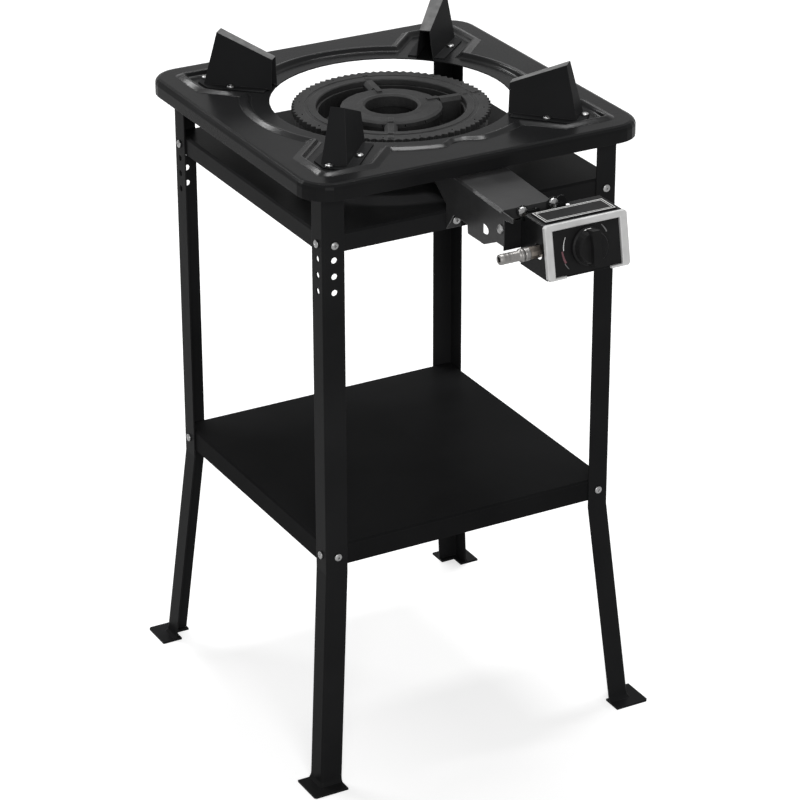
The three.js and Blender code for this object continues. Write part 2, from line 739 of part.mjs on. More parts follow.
// ---------------------------------------------------------------- heat cover and valve bracket
const BOLT_Z = 657.5;
const COVER_BOLTS = [{ word: 'left', side: -1, y: -285.5 }, { word: 'right', side: 1, y: -278 }];
const WALL_FRONT = -291;
const FOLD_BACK = 1.2; // width of the slanted fold between roof and wall
const FOLD_FRONT = 3.2;
const COVER_LIP = 12;
const LUG_R = 6.3;
const LUG_LEFT = [-8.7, 673.5];
const LUG_RIGHT = [27.3, 676];
const LUG_SPAN = 9.4; // the right lug is this much longer than it is high
const LUG_BOLTS = [LUG_LEFT, LUG_RIGHT];
const LUG_RIVETS = [[8, 672.5], [36.5, 672.5]];
const RIVET_R = 2.6;
const BOLT_CLEAR = 3.4;
const HOLDER_CLEAR = 9.5;

function coverTopAt(y) {
  return COVER_TOP + COVER_RISE * (y - COVER_FRONT);
}

function coverWall(side) {
  const wallOut = side * COVER_HALF;
  const wallIn = side * (COVER_HALF - SHEET);
  const [from, to] = side < 0 ? [wallOut, wallIn] : [wallIn, wallOut];
  const front = side < 0 ? WALL_FRONT : COVER_FRONT - 1;
  const tongue = side < 0 ? -308 : front;
  return slab('x', from, to, [
    [COVER_BACK, coverTopAt(COVER_BACK)],
    [COVER_BACK, 662],
    [-TRAY_HALF - FIT, 645],
    [-TRAY_HALF - FIT, TRAY_TOP - TRAY_SKIRT + 1],
    [-190, TRAY_TOP + 1],
    [-218, TRAY_TOP + 1],
    [-219, 628.5],
    [-252, 628.5],
    [-277, 640],
    [front, 640],
    [front, COVER_TOP - 8],
    [tongue, COVER_TOP - 6],
    [tongue, coverTopAt(tongue)],
  ]);
}

// The roof folds into each wall by a slant that widens towards the front. One triangular bar is
// cut off the outer corner and another fills the inner one, so that the sheet keeps its thickness.
function coverFold(side, outside) {
  const margin = 1;
  const reach = outside ? margin : -SHEET / 2;
  const thin = outside ? 0 : SHEET * Math.SQRT2;
  const back = COVER_BACK + (outside ? margin : 0);
  const ends = [[back, FOLD_BACK], [COVER_FRONT - (outside ? margin : 0), FOLD_FRONT]];
  const bar = loft(ends.map(([y, width]) => {
    const leg = width + 2 * reach + thin;
    const x = -COVER_HALF - reach;
    const z = coverTopAt(y) + reach;
    return [[x, z - leg], [x + leg, z], [x, z]].map(([a, b]) => new THREE.Vector3(a, y, b));
  }), false);
  return side < 0 ? bar : mirrored(bar, new THREE.Matrix4().makeScale(-1, 1, 1), true);
}

function makeCover() {
  const roof = slab('x', -COVER_HALF, COVER_HALF, [
    [COVER_BACK, coverTopAt(COVER_BACK)],
    [COVER_BACK, coverTopAt(COVER_BACK) - SHEET],
    [COVER_FRONT + SHEET, COVER_TOP - SHEET],
    [COVER_FRONT + SHEET, COVER_TOP - COVER_LIP],
    [COVER_FRONT, COVER_TOP - COVER_LIP],
    [COVER_FRONT, COVER_TOP],
  ]);
  const tabs = [-1, 1].map((side) => {
    const [a, b] = [side * COVER_HALF, side * 14].sort((p, q) => p - q);
    return box(a, b, -TRAY_HALF - FIT - SHEET, -TRAY_HALF - FIT, TRAY_TOP - TRAY_SKIRT + 1, TRAY_TOP);
  });
  const tabHoles = [-COVER_TAB_X, COVER_TAB_X].map((x) => (
    rod('y', -TRAY_HALF - 5, -TRAY_HALF + 5, x, TRAY_SCREW_Z, SCREW_CLEAR, CLEAR_SIDES)
  ));
  const boltHoles = COVER_BOLTS.map(({ side, y }) => (
    rod('x', side * COVER_HALF - 6, side * COVER_HALF + 6, y, BOLT_Z, BOLT_CLEAR, HOLE_SIDES)
  ));
  const windows = [-1, 1].map((side) => (
    slab('x', side * COVER_HALF - 4, side * COVER_HALF + 4, shutterWindow())
  ));
  return shapeOf(
    [roof, coverWall(-1), coverWall(1), coverFold(-1, false), coverFold(1, false), ...tabs],
    [coverFold(-1, true), coverFold(1, true), ...tabHoles, ...boltHoles, ...windows],
  );
}

// Opening in the cover's wall through which a finger reaches the air shutter.
function shutterWindow() {
  const middle = -249;
  const points = [[middle, 640], [middle, 651]];
  for (let i = 0; i <= 6; i += 1) {
    const turn = Math.PI / 2 - (i / 6) * Math.PI;
    points.push([middle - 4 - 8 * Math.cos(turn), 645.5 + 5.5 * Math.sin(turn)]);
  }
  return points;
}
addPart('heat_cover', makeCover(), coverSteel);

function makeBracket() {
  const back = BRACKET_Y - SHEET;
  const wing = COVER_HALF - SHEET - FIT;
  const across = (x0, x1, z0, z1) => box(x0, x1, back, BRACKET_Y, z0, z1);
  const through = (x, z, radius, sides) => rod('y', back - 10, BRACKET_Y + 8, x, z, radius, sides);
  const plate = across(-wing, BOX_RIGHT - 2, 634.6, 665);
  const rear = across(BOX_LEFT + 2, BOX_RIGHT - 2, 619, 668);
  const tie = across(-10, 12, 660, 673);
  const lugFoot = across(LUG_RIGHT[0] - LUG_R, LUG_RIGHT[0] + LUG_SPAN + LUG_R, 660, LUG_RIGHT[1]);
  const lugEnds = [LUG_LEFT, LUG_RIGHT, [LUG_RIGHT[0] + LUG_SPAN, LUG_RIGHT[1]]];
  const lugs = lugEnds.map(([x, z]) => rod('y', back, BRACKET_Y, x, z, LUG_R, 12));
  const wings = [-1, 1].map((side) => {
    const [from, to] = [side * wing, side * (wing - SHEET)].sort((p, q) => p - q);
    return box(from, to, BRACKET_Y - SHEET / 2, -271, 646, 664);
  });
  const rivets = LUG_RIVETS.map(([x, z]) => (
    rod('y', back - 2, BRACKET_Y - SHEET / 2, x, z, RIVET_R, HOLE_SIDES)
  ));
  const holes = [
    ...LUG_BOLTS.map(([x, z]) => through(x, z, 3, HOLE_SIDES)),
    through(0, TUBE_Z, HOLDER_CLEAR, 12),
    ...COVER_BOLTS.map(({ side, y }) => (
      rod('x', side * wing - 5, side * wing + 5, y, BOLT_Z, BOLT_CLEAR, HOLE_SIDES)
    )),
  ];
  return shapeOf([plate, rear, tie, lugFoot, ...lugs, ...wings, ...rivets], holes);
}
addPart('valve_bracket', makeBracket(), blackPaint);

const tabScrew = screwGeometry(4.6, 2.8, SCREW_R, 8);
const coverBolt = screwGeometry(5.2, 3.6, 2.9, 6, 6);
for (const { word, side, y } of COVER_BOLTS) {
  addScrew(
    `cover_screw_${word}`,
    tabScrew.clone(),
    zinc,
    new THREE.Vector3(side * COVER_TAB_X, -TRAY_HALF - 2 * FIT - SHEET, TRAY_SCREW_Z),
    new THREE.Vector3(0, -1, 0),
  );
  addScrew(
    `cover_bolt_${word}`,
    coverBolt.clone(),
    zinc,
    new THREE.Vector3(side * (COVER_HALF + FIT), y, BOLT_Z),
    new THREE.Vector3(side, 0, 0),
  );
}
const lugBolt = screwGeometry(5.4, 3.4, 2.6, 4.2, 10);
LUG_BOLTS.forEach(([x, z], i) => {
  addScrew(
    `bracket_bolt_${i ? 'right' : 'left'}`,
    lugBolt.clone(),
    zinc,
    new THREE.Vector3(x, BRACKET_Y - SHEET - FIT, z),
    new THREE.Vector3(0, -1, 0),
  );
});

// ---------------------------------------------------------------- control box
const PANEL_BOTTOM_Y = BOX_FRONT - PANEL_H * Math.sin(PANEL_TILT);
const PANEL_BOTTOM_Z = BOX_TOP - PANEL_H * Math.cos(PANEL_TILT);
const panel = new THREE.Group();
panel.position.set(
  (BOX_LEFT + BOX_RIGHT) / 2,
  (BOX_FRONT + PANEL_BOTTOM_Y) / 2,
  (BOX_TOP + PANEL_BOTTOM_Z) / 2,
);
panel.rotation.x = -PANEL_TILT;
stand.add(panel);
panel.updateMatrixWorld(true);

// The inlet lies on the spindle's axis plane, this far behind the panel.
const inlet = new THREE.Vector3(0, INLET_Y, 0).applyMatrix4(panel.matrixWorld);

function makeBox() {
  const profile = (inset, back) => [
    [back, PANEL_BOTTOM_Z - (inset ? 5 : 0)],
    [back, BOX_TOP - inset],
    [BOX_FRONT + inset, BOX_TOP - inset],
    [PANEL_BOTTOM_Y + inset, PANEL_BOTTOM_Z],
    [PANEL_BOTTOM_Y + inset, PANEL_BOTTOM_Z - (inset ? 5 : 0)],
  ];
  const outer = slab('x', BOX_LEFT, BOX_RIGHT, profile(0, BOX_BACK).slice(0, 4));
  const inner = slab('x', BOX_LEFT + SHEET, BOX_RIGHT - SHEET, profile(SHEET, BOX_BACK + 5));
  const bends = [[BOX_LEFT, -1], [BOX_RIGHT, 1]].map(([x, side]) => slab('y', BOX_FRONT - 5, BOX_BACK + 5, [
    [x + side, BOX_TOP - BOX_BEND - 1],
    [x - side * (BOX_BEND + 1), BOX_TOP + 1],
    [x + side, BOX_TOP + 1],
  ]));
  const boltRoom = box(BOX_LEFT - 5, 45, BOX_BACK - 7, BOX_BACK + 5, BOX_TOP - 9, BOX_TOP + 5);
  const inletHole = rod('x', BOX_LEFT - 5, BOX_LEFT + 5, inlet.y, inlet.z, 8.5, 20);
  const stemHole = rod('y', -5, 5, 0, 0, 6, 16).applyMatrix4(panel.matrixWorld);
  return shapeOf([outer], [inner, ...bends, boltRoom, inletHole, stemHole]);
}
addPart('control_box', makeBox(), blackPaint);

function makeNamePlate() {
  const geometry = box(BOX_LEFT + 5, BOX_RIGHT - 5, BOX_FRONT + 3, BOX_BACK - 10, 0, 0.7);
  return geometry.translate(0, 0, BOX_TOP + FIT);
}
addPart('blank_name_plate', makeNamePlate(), blackPlastic);

const BEZEL_HALF_W = 48.4;
const BEZEL_SIDE = 9;
const BEZEL_BAR = 7;
const BEZEL_DEEP = 5.5;
const BEZEL_RETURN = 22;
const DIAL_T = 3.2;

function makeDialPlate() {
  const half = BEZEL_HALF_W - BEZEL_SIDE - FIT;
  const top = PANEL_H / 2 - BEZEL_BAR - FIT;
  const plate = box(-half, half, -DIAL_T, -FIT, -PANEL_H / 2 + 3, top);
  return shapeOf([plate], [rod('y', -5, 5, 0, 0, 6, 16)]);
}
addPart('dial_plate', makeDialPlate(), blackPlastic, panel);

// Three-sided trim: two uprights and a top bar, with thin returns at the foot of each upright.
function makeBezel() {
  const w = BEZEL_HALF_W;
  const h = PANEL_H / 2;
  const inner = w - BEZEL_SIDE;
  const round = 2.5;
  const lip = -h + 3 - FIT;
  const outline = [
    [-w + round, -h],
    [-w + BEZEL_RETURN, -h],
    [-w + BEZEL_RETURN, lip],
    [-inner, lip],
    [-inner, h - BEZEL_BAR],
    [inner, h - BEZEL_BAR],
    [inner, lip],
    [w - BEZEL_RETURN, lip],
    [w - BEZEL_RETURN, -h],
    [w - round, -h],
    [w, -h + round],
    [w, h - round],
    [w - round, h],
    [-w + round, h],
    [-w, h - round],
    [-w, -h + round],
  ];
  const shape = new THREE.Shape(outline.map(([x, z]) => new THREE.Vector2(x, z)));
  const bevel = 1.2;
  const geometry = new THREE.ExtrudeGeometry(shape, {
    depth: BEZEL_DEEP - 2 * bevel,
    bevelThickness: bevel,
    bevelSize: bevel,
    bevelOffset: -bevel,
    bevelSegments: 2,
  });
  return geometry.rotateX(Math.PI / 2).translate(0, -FIT - bevel, 0);
}
addPart('panel_bezel', makeBezel(), silverTrim, panel);

// ---------------------------------------------------------------- gas valve, in the panel's frame
const KNOB_R = 20;
const KNOB_BACK = -7.2;
const KNOB_FRONT = -25;

function makeKnob() {
  const body = lathe([
    [0, -KNOB_FRONT - 6],
    [KNOB_R - 4.5, -KNOB_FRONT - 6],
    [KNOB_R - 3, -KNOB_FRONT - 8],
    [KNOB_R - 2, -KNOB_BACK + 3],
    [KNOB_R, -KNOB_BACK + 2],
    [KNOB_R, -KNOB_BACK],
    [0, -KNOB_BACK],
  ], 24).rotateX(Math.PI / 2);
  const grip = slab('y', KNOB_FRONT, KNOB_BACK - 4, [
    [-5.6, -14],
    [-4, -18.5],
    [4, -18.5],
    [5.6, -14],
    [4.6, 0],
    [5.6, 14],
    [4, 18.5],
    [-4, 18.5],
    [-5.6, 14],
    [-4.6, 0],
  ]);
  const bore = rod('y', -18, 5, 0, 0, SPINDLE_R + FIT, 12);
  const hollow = lathe([[9, 3], [KNOB_R - 3, 3], [KNOB_R - 4, 14], [9, 14], [9, 3]], 12)
    .rotateX(Math.PI / 2);
  return shapeOf([body, grip], [bore, hollow]);
}
addPart('knob', makeKnob(), blackPlastic, panel);

const BODY_FACE = 4.4;
const BODY_END = 29;
const PLUG_FACE = 11.4;
const PLUG_LENGTH = 14;
const PLUG_WELL = 15.7; // floor of the plug's well, where the spring stands
const PLUG_WELL_R = 5;
const PUSH = 3; // travel of the knob before it turns
const COLLAR_T = 1;
const ARM_Y = -302; // outlet arm, behind the valve, that carries the jet's holder
const DUCT_R = 2.6;

function makeSpindle() {
  const shaft = rod('y', -17.5, PLUG_WELL + 1, 0, 0, SPINDLE_R, 12);
  const collar = rod('y', BODY_FACE + FIT, BODY_FACE + FIT + COLLAR_T, 0, 0, 5.2, 12);
  const flat = box(-4, 4, -25, -8, SPINDLE_R - 0.8, SPINDLE_R + 2);
  return shapeOf([shaft, collar], [flat]);
}
addPart('valve_spindle', makeSpindle(), zinc, panel);

function makePlug() {
  const cone = rod('y', PLUG_FACE, PLUG_FACE + PLUG_LENGTH, 0, 0, 7.2, 12, 5.8);
  const well = rod('y', PLUG_FACE - 2, PLUG_WELL, 0, 0, PLUG_WELL_R, 12);
  const socket = rod('y', PLUG_FACE, PLUG_WELL + 1 + PUSH + FIT, 0, 0, SPINDLE_R + FIT, 12);
  const port = rod('x', -12, 2, PLUG_WELL + 3, 0, 2.2, 8);
  return shapeOf([cone], [well, socket, port]);
}
addPart('valve_plug', makePlug(), brass, panel);

// Return spring in the plug's well, behind the collar by the knob's travel. One wire, by formula.
function makeSpring() {
  const turns = 3;
  const stepsPerTurn = 8;
  const wireSides = 5;
  const wireR = 0.4;
  const coilR = PLUG_WELL_R - FIT - wireR;
  const from = BODY_FACE + FIT + COLLAR_T + PUSH + FIT + wireR;
  const to = PLUG_WELL - FIT - wireR;
  const rings = [];
  for (let i = 0; i <= turns * stepsPerTurn; i += 1) {
    const share = i / (turns * stepsPerTurn);
    const turn = share * turns * Math.PI * 2;
    const ring = [];
    for (let k = 0; k < wireSides; k += 1) {
      const [out, along] = onCircle(wireR, k * 360 / wireSides);
      const r = coilR + out;
      const height = from + (to - from) * share + along;
      ring.push(new THREE.Vector3(r * Math.cos(turn), r * Math.sin(turn), height));
    }
    rings.push(ring.reverse());
  }
  const gap = (to - from) / turns - 2 * wireR;
  console.log(`spring: least gap between its turns ${gap.toFixed(2)} mm`);
  return loft(rings, false).rotateX(-Math.PI / 2);
}
addPart('return_spring', makeSpring(), zinc, panel);

const NUT_END = BOX_LEFT - 11; // the inlet arm ends here and the nipple's hex begins

function makeValveBody() {
  const local = (x) => x - panel.position.x;
  const barrel = rod('y', BODY_FACE, BODY_END, 0, 0, 11.5, 16);
  const seat = rod('y', PLUG_FACE - 0.2, PLUG_FACE + 14.3, 0, 0, 7.55, 12, 6.15);
  const chamber = rod('y', BODY_FACE - 3, PLUG_FACE, 0, 0, 7.9, 12);
  const inletArm = rod('x', local(NUT_END), -6, INLET_Y, 0, 6.6, 10);
  const inletBore = rod('x', local(NUT_END) - 5, 0, INLET_Y, 0, 3.2, 8);
  const toPanel = panel.matrixWorld.clone().invert();
  const armZ = TUBE_Z - 6;
  const middle = panel.position.x;
  const outletArm = rod('x', 0, middle + 1, ARM_Y, armZ, 5.6, 10);
  const riser = rod('z', inlet.z - 6, armZ + 5, middle + 1, ARM_Y, 6.4, 10);
  const elbow = new THREE.SphereGeometry(8.4, 10, 6).translate(0, ARM_Y, TUBE_Z - 2);
  const holder = rod('y', ARM_Y, BRACKET_Y + 6, 0, TUBE_Z, 8, 12);
  const outletBore = rod('x', 0, middle + 1, ARM_Y, armZ, DUCT_R, 8);
  const holderBore = rod('y', ARM_Y, BRACKET_Y + 10, 0, TUBE_Z, 3.4, 10);
  const linkBore = rod('z', armZ, TUBE_Z, 0, ARM_Y, DUCT_R, 8);
  const world = [outletArm, elbow, holder, riser].map((g) => g.applyMatrix4(toPanel));
  const worldCuts = [outletBore, linkBore, holderBore].map((g) => g.applyMatrix4(toPanel));
  return shapeOf([barrel, inletArm, ...world], [seat, chamber, inletBore, ...worldCuts]);
}
addPart('valve_body', makeValveBody(), brass, panel);

function makeBonnet() {
  const cap = rod('y', SHEET + FIT, BODY_FACE - FIT, 0, 0, 11.5, 8);
  return shapeOf([cap], [rod('y', 0, 12, 0, 0, SPINDLE_R + FIT, 12)]);
}
addPart('valve_bonnet', makeBonnet(), brass, panel);

// Gas jet: hex body screwed into the valve's holder, nose through the shutter's eye.
function makeJet() {
  const from = BRACKET_Y + 6 + FIT;
  const hex = rod('y', from, from + 7, 0, TUBE_Z, 7, 6);
  const thread = rod('y', from - 8, from, 0, TUBE_Z, 3.05, 14);
  const nose = rod('y', from + 7, MOUTH_Y - 3, 0, TUBE_Z, 4.6, 16, 3.4);
  const bore = rod('y', from - 12, MOUTH_Y - 8, 0, TUBE_Z, 1.8, 10);
  const orifice = rod('y', MOUTH_Y - 10, MOUTH_Y + 2, 0, TUBE_Z, 0.8, 8);
  return shapeOf([hex, thread, nose], [bore, orifice]);
}
addPart('gas_jet', makeJet(), brass);

// Barbed hose nipple on the left of the box, with its hex collar.
function makeNipple() {
  const start = NUT_END - FIT;
  const tip = -55.5;
  const hexW = 8.5;
  const shoulder = 5.8; // wider than the barbs, so that a hose end can reach the hexagon
  const points = [
    [0, start - 1],
    [shoulder, start - 1],
    [shoulder, start - hexW - 1.5],
    [5, start - hexW - 2],
  ];
  const barbs = 4;
  const pitch = (start - hexW - 3 - tip) / barbs;
  for (let i = 0; i < barbs; i += 1) {
    const rise = start - hexW - 3 - i * pitch;
    points.push([5.6, rise], [5, rise - pitch + 0.6]);
  }
  points.push([4.2, tip], [0, tip]);
  const barb = lathe(points, 12).rotateY(Math.PI / 2).translate(0, inlet.y, inlet.z);
  const hex = rod('x', start - hexW, start, 0, 0, 9.3, 6).rotateX(Math.PI / 6);
  const bore = rod('x', tip - 5, start + 5, inlet.y, inlet.z, 3, 12);
  return shapeOf([barb, hex.translate(0, inlet.y, inlet.z)], [bore]);
}
addPart('hose_nipple', makeNipple(), nickel);

// The controls stand out in front, so the middle of the overall box is in front of the burner.
group.updateMatrixWorld(true);
const overall = new THREE.Box3().setFromObject(group, true);
stand.position.y = -(overall.min.y + overall.max.y) / 2;

export default group;
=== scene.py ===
import json
import math

import bmesh
import bpy
from mathutils import Matrix, Vector


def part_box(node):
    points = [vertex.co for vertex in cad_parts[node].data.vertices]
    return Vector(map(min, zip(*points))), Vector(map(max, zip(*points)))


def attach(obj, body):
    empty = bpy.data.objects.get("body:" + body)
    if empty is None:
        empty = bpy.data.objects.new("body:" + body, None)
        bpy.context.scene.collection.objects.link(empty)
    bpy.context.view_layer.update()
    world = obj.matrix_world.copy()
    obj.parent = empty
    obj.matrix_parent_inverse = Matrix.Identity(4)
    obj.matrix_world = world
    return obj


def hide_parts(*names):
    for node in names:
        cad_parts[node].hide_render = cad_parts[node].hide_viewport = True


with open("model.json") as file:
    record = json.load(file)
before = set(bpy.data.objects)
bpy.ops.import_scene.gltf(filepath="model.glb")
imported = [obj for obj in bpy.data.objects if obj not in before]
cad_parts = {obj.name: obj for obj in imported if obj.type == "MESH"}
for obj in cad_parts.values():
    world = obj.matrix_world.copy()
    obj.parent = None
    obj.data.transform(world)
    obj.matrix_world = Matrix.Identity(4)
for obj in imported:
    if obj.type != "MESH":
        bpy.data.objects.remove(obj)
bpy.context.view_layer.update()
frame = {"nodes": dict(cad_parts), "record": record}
nodes = frame["nodes"]
scene = bpy.context.scene

MM = 0.001


def linked(name, data):
    made = bpy.data.objects.new(name, data)
    scene.collection.objects.link(made)
    return made


# ---------------------------------------------------------------- camera
# In metres and degrees, worked out from the photograph's straight edges.
CAMERA_AT = (-1.5647, -2.7882, 1.8949)
CAMERA_YAW = math.radians(28.806)
CAMERA_PITCH = math.radians(25.460)
CAMERA_ROLL = math.radians(0.129)
FOCAL_PX = 3225.55
PHOTO_PX = 800
SENSOR_MM = 36.0
CLIP_NEAR, CLIP_FAR = 0.05, 60


def make_camera():
    data = bpy.data.cameras.new("camera")
    data.sensor_width = SENSOR_MM
    data.lens = FOCAL_PX * SENSOR_MM / PHOTO_PX
    data.clip_start, data.clip_end = CLIP_NEAR, CLIP_FAR
    camera = linked("camera", data)
    forward = Vector((
        math.sin(CAMERA_YAW) * math.cos(CAMERA_PITCH),
        math.cos(CAMERA_YAW) * math.cos(CAMERA_PITCH),
        -math.sin(CAMERA_PITCH),
    ))
    right = Vector((math.cos(CAMERA_YAW), -math.sin(CAMERA_YAW), 0))
    up = right.cross(forward)
    turn = Matrix.Rotation(CAMERA_ROLL, 3, forward)
    right, up = turn @ right, turn @ up
    basis = Matrix((right, up, -forward)).transposed().to_4x4()
    camera.matrix_world = Matrix.Translation(CAMERA_AT) @ basis
    scene.camera = camera


make_camera()


# ---------------------------------------------------------------- materials
# Sockets of the Mix node in its colour form, which share their names with other forms.
MIX_A, MIX_B, MIX_RESULT = 6, 7, 2
WHITE = (1, 1, 1, 1)
BEVEL_SAMPLES = 6
# How well a rounded normal matches the face's own: at a worn edge, and on a flat.
MATCH_AT_EDGE, MATCH_ON_FLAT = 0.86, 0.985
# How far up a face looks before it gets the painted highlight, and how soon above a height.
TOP_HIGHLIGHT_FROM, TOP_HIGHLIGHT_FULL = 0.75, 0.9
TOP_HIGHLIGHT_FADE = 0.012


class Nodes:
    """Short calls for building a material's node tree."""

    def __init__(self, name):
        self.material = bpy.data.materials.new(name)
        self.material.use_nodes = True
        self.tree = self.material.node_tree
        self.shader = self.tree.nodes["Principled BSDF"]
        self.coords = self.add("ShaderNodeTexCoord").outputs["Object"]

    def add(self, kind, **sockets):
        node = self.tree.nodes.new(kind)
        for key, value in sockets.items():
            self.put(node.inputs[key.replace("_", " ")], value)
        return node

    def put(self, socket, value):
        if isinstance(value, bpy.types.NodeSocket):
            self.tree.links.new(value, socket)
        else:
            socket.default_value = value

    def stretched(self, x, y, z):
        return self.add("ShaderNodeMapping", Vector=self.coords, Scale=(x, y, z)).outputs[0]

    def noise(self, scale, detail=4.0, roughness=0.5, at=None):
        node = self.add(
            "ShaderNodeTexNoise",
            Vector=at or self.coords,
            Scale=scale,
            Detail=detail,
            Roughness=roughness,
        )
        return node.outputs["Fac"]

    def spread(self, value, low, high, start=0.3, end=0.7):
        node = self.add("ShaderNodeMapRange", Value=value)
        numbers = {"From Min": start, "From Max": end, "To Min": low, "To Max": high}
        for key, number in numbers.items():
            node.inputs[key].default_value = number
        return node.outputs["Result"]

    def mix(self, share, a, b):
        node = self.tree.nodes.new("ShaderNodeMix")
        node.data_type = "RGBA"
        self.put(node.inputs["Factor"], share)
        self.put(node.inputs[MIX_A], a)
        self.put(node.inputs[MIX_B], b)
        return node.outputs[MIX_RESULT]

    def times(self, a, b):
        node = self.tree.nodes.new("ShaderNodeMath")
        node.operation = "MULTIPLY"
        self.put(node.inputs[0], a)
        self.put(node.inputs[1], b)
        return node.outputs[0]

    def bump(self, height, distance, strength=1.0, normal=None):
        node = self.add("ShaderNodeBump", Height=height, Distance=distance, Strength=strength)
        if normal is not None:
            self.put(node.inputs["Normal"], normal)
        return node.outputs["Normal"]

    def soft_edge(self, radius):
        node = self.add("ShaderNodeBevel", Radius=radius)
        node.samples = BEVEL_SAMPLES
        return node.outputs["Normal"]

    def worn(self, rounded):
        """1 along edges, where the rounded normal leaves the face's own, and 0 on flats."""
        match = self.tree.nodes.new("ShaderNodeVectorMath")
        match.operation = "DOT_PRODUCT"
        self.put(match.inputs[0], rounded)
        self.put(match.inputs[1], self.add("ShaderNodeNewGeometry").outputs["True Normal"])
        patchy = self.spread(self.noise(60, 3), 0.35, 1.0)
        edge = self.spread(match.outputs["Value"], 1.0, 0.0, MATCH_AT_EDGE, MATCH_ON_FLAT)
        return self.times(edge, patchy)

    def painted_top_highlight(self, above):
        """1 on faces that look up and lie above a height: the mask of a painted highlight on the
        tops of the pot supports.
        """
        geometry = self.add("ShaderNodeNewGeometry")

        def upward(output, start, end):
            split = self.add("ShaderNodeSeparateXYZ", Vector=geometry.outputs[output])
            return self.spread(split.outputs["Z"], 0.0, 1.0, start, end)

        looks_up = upward("True Normal", TOP_HIGHLIGHT_FROM, TOP_HIGHLIGHT_FULL)
        lies_high = upward("Position", above, above + TOP_HIGHLIGHT_FADE)
        patchy = self.spread(self.noise(90, 3), 0.55, 1.0)
        return self.times(self.times(looks_up, lies_high), patchy)

    def set(self, **sockets):
        for key, value in sockets.items():
            self.put(self.shader.inputs[key.replace("_", " ")], value)


def grey(value, warm=0.0):
    return (value * (1 + warm), value, value * (1 - warm), 1)


def shade(colour, share):
    return (*[part * share for part in colour], 1)


ENAMEL_DARK = (0.0075, 0.0076, 0.0079)
ENAMEL_PALE = (0.0105, 0.0106, 0.0109)
DUST = grey(0.02)
# Pale grey of the painted highlight on the tops of the pot supports.
TOP_HIGHLIGHT_GREY = grey(0.15)


def enamel_material(name, ior, gloss, tone=1.0, wear=0.028, highlight_above=None):
    m = Nodes(name)
    cloud = m.noise(9, 3)
    dust = m.noise(420, 2, 0.7)
    base = m.mix(m.spread(cloud, 0, 1), shade(ENAMEL_DARK, tone), shade(ENAMEL_PALE, tone))
    specks = m.spread(dust, 0, 0.4, 0.66, 0.78)
    rounded = m.soft_edge(0.0007)
    dusty = m.mix(specks, base, DUST)
    colour = m.mix(m.worn(rounded), dusty, grey(wear))
    # Up-facing faces above the given height get a painted highlight in pale grey.
    if highlight_above:
        colour = m.mix(m.painted_top_highlight(highlight_above), colour, TOP_HIGHLIGHT_GREY)
    peel = m.noise(190, 2)
    waves = m.noise(14, 1)
    normal = m.bump(peel, 0.00012, 0.5, m.bump(waves, 0.0008, 0.5, rounded))
    m.set(
        Base_Color=colour,
        Roughness=m.spread(cloud, gloss, gloss + 0.07),
        IOR=ior,
        Normal=normal,
    )
    return m.material


def iron_material():
    m = Nodes("cast_iron")
    cloud = m.noise(30, 4, 0.6)
    grit = m.noise(700, 3, 0.7)
    base = m.mix(m.spread(cloud, 0, 1), (0.016, 0.016, 0.0162, 1), (0.026, 0.026, 0.0262, 1))
    rounded = m.soft_edge(0.0012)
    gritty = m.mix(m.spread(grit, 0, 0.5, 0.5, 0.75), base, grey(0.045))
    colour = m.mix(m.worn(rounded), gritty, grey(0.075))
    normal = m.bump(grit, 0.0004, 0.8, m.bump(cloud, 0.0012, 0.5, rounded))
    m.set(Base_Color=colour, Roughness=m.spread(grit, 0.45, 0.6), IOR=1.15, Normal=normal)
    return m.material


def cover_material():
    m = Nodes("cover_steel")
    cloud = m.noise(22, 4, 0.6)
    fine = m.noise(500, 2)
    rounded = m.soft_edge(0.0009)
    plain = m.mix(m.spread(cloud, 0, 1), (0.02, 0.02, 0.0205, 1), (0.031, 0.031, 0.0315, 1))
    base = m.mix(m.worn(rounded), plain, grey(0.14))
    normal = m.bump(fine, 0.00008, 0.5, m.bump(cloud, 0.0006, 0.6, rounded))
    m.set(Base_Color=base, Roughness=m.spread(cloud, 0.26, 0.36), IOR=1.2, Normal=normal)
    return m.material


def plated_material(name, tone, warm, roughness, grain):
    m = Nodes(name)
    cloud = m.noise(160, 3)
    lines = m.noise(1.0, 2, 0.5, m.stretched(*grain))
    m.set(
        Base_Color=m.mix(m.spread(cloud, 0, 1), grey(tone * 0.82, warm), grey(tone, warm)),
        Metallic=1.0,
        Roughness=m.spread(lines, roughness - 0.06, roughness + 0.08),
        Normal=m.bump(lines, 0.00004, 0.6, m.soft_edge(0.0003)),
    )
    return m.material


def trim_material():
    m = Nodes("silver_trim")
    cloud = m.noise(60, 3)
    flake = m.noise(2500, 1)
    colour = m.mix(m.spread(cloud, 0, 1), (0.44, 0.44, 0.437, 1), (0.52, 0.52, 0.517, 1))
    m.set(
        Base_Color=colour,
        Metallic=0.12,
        Roughness=m.spread(cloud, 0.3, 0.4),
        Normal=m.bump(flake, 0.00003, 0.5, m.soft_edge(0.0008)),
    )
    return m.material


def plastic_material(name, tone, roughness, scale, depth):
    m = Nodes(name)
    grain = m.noise(scale, 2)
    cloud = m.noise(40, 2)
    low = shade((0.85, 0.85, 0.87), tone)
    high = shade((1.15, 1.15, 1.17), tone)
    m.set(
        Base_Color=m.mix(m.spread(cloud, 0, 1), low, high),
        Roughness=m.spread(grain, roughness - 0.05, roughness + 0.05),
        IOR=1.12,
        Normal=m.bump(grain, depth, 0.6, m.soft_edge(0.0005)),
    )
    return m.material


def print_material(name, colour):
    m = Nodes(name)
    ink = m.noise(900, 2)
    m.set(
        Base_Color=m.mix(m.spread(ink, 0, 1), shade(colour, 0.8), shade(colour, 1)),
        Roughness=m.spread(ink, 0.4, 0.5),
    )
    return m.material


